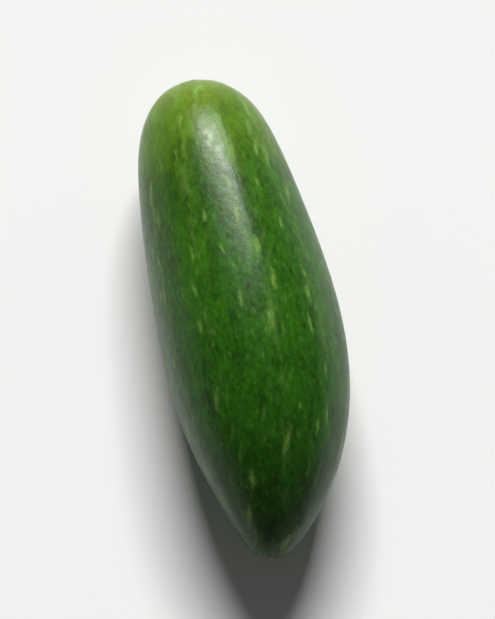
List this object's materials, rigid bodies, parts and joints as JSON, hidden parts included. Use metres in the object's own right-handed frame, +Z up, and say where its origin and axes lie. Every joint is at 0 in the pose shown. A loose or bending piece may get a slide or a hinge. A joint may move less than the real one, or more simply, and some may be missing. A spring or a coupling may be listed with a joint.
{
  "type": "ivy gourd fruit",
  "caption": "Small whole green gourd, blunt at the blossom end and tapered at the stem end, slightly bent, lying on its side.",
  "frame": {"origin": "bottom centre of the fruit's bounding box, on the surface that it lies on", "axes": "+X along the fruit from the blossom end to the stem end, +Z up, +Y to the side that the fruit bows towards"},
  "size_m": [0.0566, 0.0208, 0.0202],
  "materials": {
    "gourd_skin": "waxy, smooth, half-gloss green skin, yellow-green at the blossom end and dark at the stem end, with rows of pale dashes"
  },
  "bodies": {
    "root": {"ivy_gourd": "gourd_skin"}
  },
  "joints": []
}
